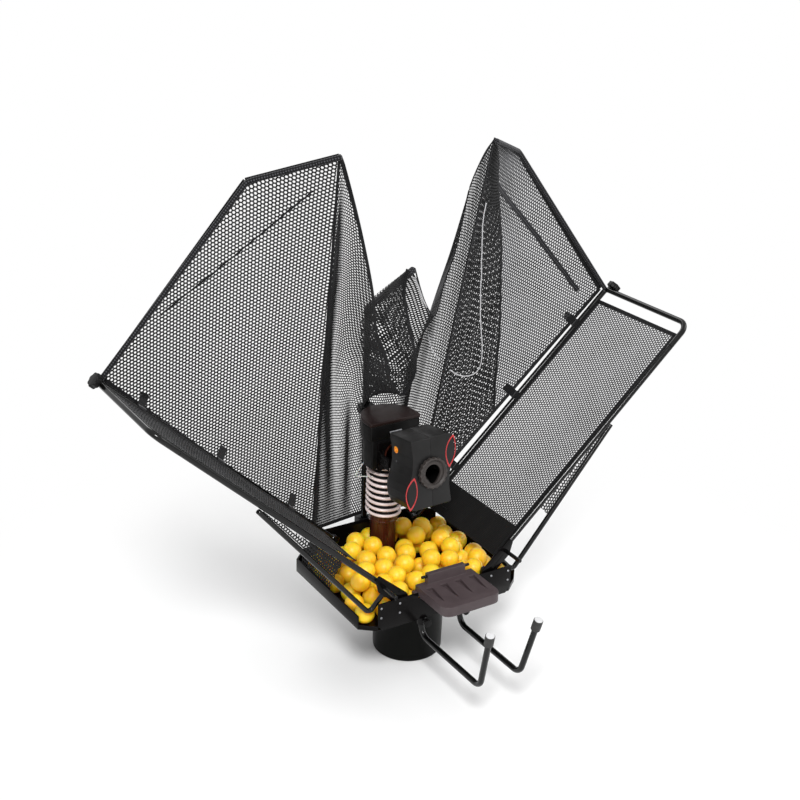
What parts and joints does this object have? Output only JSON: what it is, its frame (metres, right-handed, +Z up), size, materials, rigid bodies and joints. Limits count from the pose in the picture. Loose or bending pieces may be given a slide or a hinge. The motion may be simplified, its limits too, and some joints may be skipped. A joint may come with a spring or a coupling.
{
  "type": "table tennis robot",
  "caption": "Table tennis robot for a table's end: ball tray on a mixing drum, feed column, throwing head that pans, tilts and rolls, clamp hooks, and folding wings with catch nets.",
  "frame": {"origin": "underside of the tongue that rests on the table, in the middle, in the plane of the front panel's face", "axes": "+X to the right seen from the table, +Y away from the table toward the back, +Z up"},
  "size_m": [1.2232, 0.5761, 1.057],
  "materials": {
    "steel_paint": "black stove paint, semi gloss",
    "tongue_moulding": "moulded, fine grain",
    "drum_plastic": "moulded, satin gloss",
    "pipe_plastic": "extruded, dark red-brown",
    "rubber": "matt",
    "spring_coat": "white coating",
    "motor_can": "drawn can",
    "abs_black": "moulded, fine texture",
    "abs_gloss": "moulded, polished",
    "pad_rubber": "matt",
    "net_mesh": "knitted net",
    "net_tape": "woven tape",
    "ball_celluloid": "satin",
    "decal_red": "printed film",
    "window_amber": "moulded lens",
    "rivet_brass": "domed",
    "screw_steel": "plated",
    "tie_white": "moulded nylon"
  },
  "bodies": {
    "base": {"tray_pan": "steel_paint", "front_panel": "steel_paint", "table_tongue": "tongue_moulding", "tongue_pin": "steel_paint", "mixing_drum": "drum_plastic", "drum_deck": "steel_paint", "feed_motor": "motor_can", "feed_pipe": "pipe_plastic", "pipe_collar": "pipe_plastic", "inner_hose": "rubber", "pipe_spring": "spring_coat", "pole_foot": "abs_black", "net_pole": "steel_paint", "pole_arm": "net_tape", "box_bracket": "abs_black", "control_box": "abs_black", "box_cover": "abs_gloss", "pan_motor": "motor_can", "ball_load": "ball_celluloid", "inner_net_left": "net_mesh", "inner_net_right": "net_mesh"},
    "feed_wheel": {"feed_wheel": "rubber"},
    "turret": {"turret_housing": "abs_black", "ball_elbow": "pipe_plastic", "tilt_bracket": "steel_paint"},
    "cradle": {"tilt_cradle": "steel_paint"},
    "head": {"head_shell_left": "abs_gloss", "head_shell_right": "abs_gloss", "nozzle_ring": "abs_black", "throw_motor_upper": "motor_can", "throw_motor_lower": "motor_can"},
    "wheel_upper": {"throw_wheel_upper": "rubber"},
    "wheel_lower": {"throw_wheel_lower": "rubber"},
    "bush_left": {"hook_bush_left": "abs_black"},
    "bush_right": {"hook_bush_right": "abs_black"},
    "hook_left": {"hook_left": "steel_paint", "hook_pad_left": "pad_rubber"},
    "hook_right": {"hook_right": "steel_paint", "hook_pad_right": "pad_rubber"},
    "screw_left": {"hook_screw_left": "abs_black"},
    "screw_right": {"hook_screw_right": "abs_black"},
    "wing_left": {"front_rail_left": "steel_paint", "back_rail_left": "steel_paint", "end_bow_left": "steel_paint", "wing_strut_left": "steel_paint", "hinge_gusset_left": "steel_paint", "net_rod_left": "net_tape", "floor_net_left": "net_mesh", "back_net_left": "net_mesh"},
    "wing_right": {"front_rail_right": "steel_paint", "back_rail_right": "steel_paint", "end_bow_right": "steel_paint", "wing_strut_right": "steel_paint", "hinge_gusset_right": "steel_paint", "net_rod_right": "net_tape", "floor_net_right": "net_mesh", "back_net_right": "net_mesh"},
    "knob_left": {"rod_knob_left": "abs_black"},
    "knob_right": {"rod_knob_right": "abs_black"}
  },
  "joints": [
    {"name": "wing_left_fold", "type": "hinge", "parent": "base", "child": "wing_left", "pos_m": [-0.1, 0.1465, 0.002], "axis": [0, -1, 0], "range_deg": [-8, 16], "deforming": ["inner_net_left"]},
    {"name": "wing_right_fold", "type": "hinge", "parent": "base", "child": "wing_right", "pos_m": [0.1, 0.1465, 0.002], "axis": [0, 1, 0], "range_deg": [-8, 16], "deforming": ["inner_net_right"]},
    {"name": "knob_left_turn", "type": "hinge", "parent": "wing_left", "child": "knob_left", "pos_m": [-0.597, 0.264, 0.4607], "axis": [-0.7349, 0, 0.6782], "continuous": true},
    {"name": "knob_right_turn", "type": "hinge", "parent": "wing_right", "child": "knob_right", "pos_m": [0.597, 0.264, 0.4607], "axis": [0.7349, 0, 0.6782], "continuous": true},
    {"name": "feed_wheel_turn", "type": "hinge", "parent": "base", "child": "feed_wheel", "pos_m": [0, 0.14, -0.169], "axis": [0, 0, 1], "continuous": true},
    {"name": "hook_left_swivel", "type": "hinge", "parent": "base", "child": "bush_left", "pos_m": [-0.046, 0.017, -0.05], "axis": [0, 0, -1], "range_deg": [-10, 60]},
    {"name": "hook_right_swivel", "type": "hinge", "parent": "base", "child": "bush_right", "pos_m": [0.046, 0.017, -0.05], "axis": [0, 0, 1], "range_deg": [-10, 60]},
    {"name": "hook_left_slide", "type": "slide", "parent": "bush_left", "child": "hook_left", "axis": [0, 0, 1], "range_m": [-0.06, 0]},
    {"name": "hook_right_slide", "type": "slide", "parent": "bush_right", "child": "hook_right", "axis": [0, 0, 1], "range_m": [-0.06, 0]},
    {"name": "hook_left_screw", "type": "hinge", "parent": "bush_left", "child": "screw_left", "pos_m": [-0.046, 0, -0.064], "axis": [0, 1, 0], "continuous": true},
    {"name": "hook_right_screw", "type": "hinge", "parent": "bush_right", "child": "screw_right", "pos_m": [0.046, 0, -0.064], "axis": [0, 1, 0], "continuous": true},
    {"name": "turret_pan", "type": "hinge", "parent": "base", "child": "turret", "pos_m": [0, 0.248, 0.2], "axis": [0, 0, 1], "range_deg": [-35, 35]},
    {"name": "head_tilt", "type": "hinge", "parent": "turret", "child": "cradle", "pos_m": [0, 0.178, 0.209], "axis": [1, 0, 0], "range_deg": [-22, 15]},
    {"name": "head_roll", "type": "hinge", "parent": "cradle", "child": "head", "pos_m": [0, 0.178, 0.209], "axis": [0, -0.9903, 0.1392], "range_deg": [-90, 90]},
    {"name": "wheel_upper_turn", "type": "hinge", "parent": "head", "child": "wheel_upper", "pos_m": [0, 0.11552, 0.26019], "axis": [1, 0, 0], "continuous": true},
    {"name": "wheel_lower_turn", "type": "hinge", "parent": "head", "child": "wheel_lower", "pos_m": [0, 0.10383, 0.17701], "axis": [1, 0, 0], "continuous": true}
  ]
}
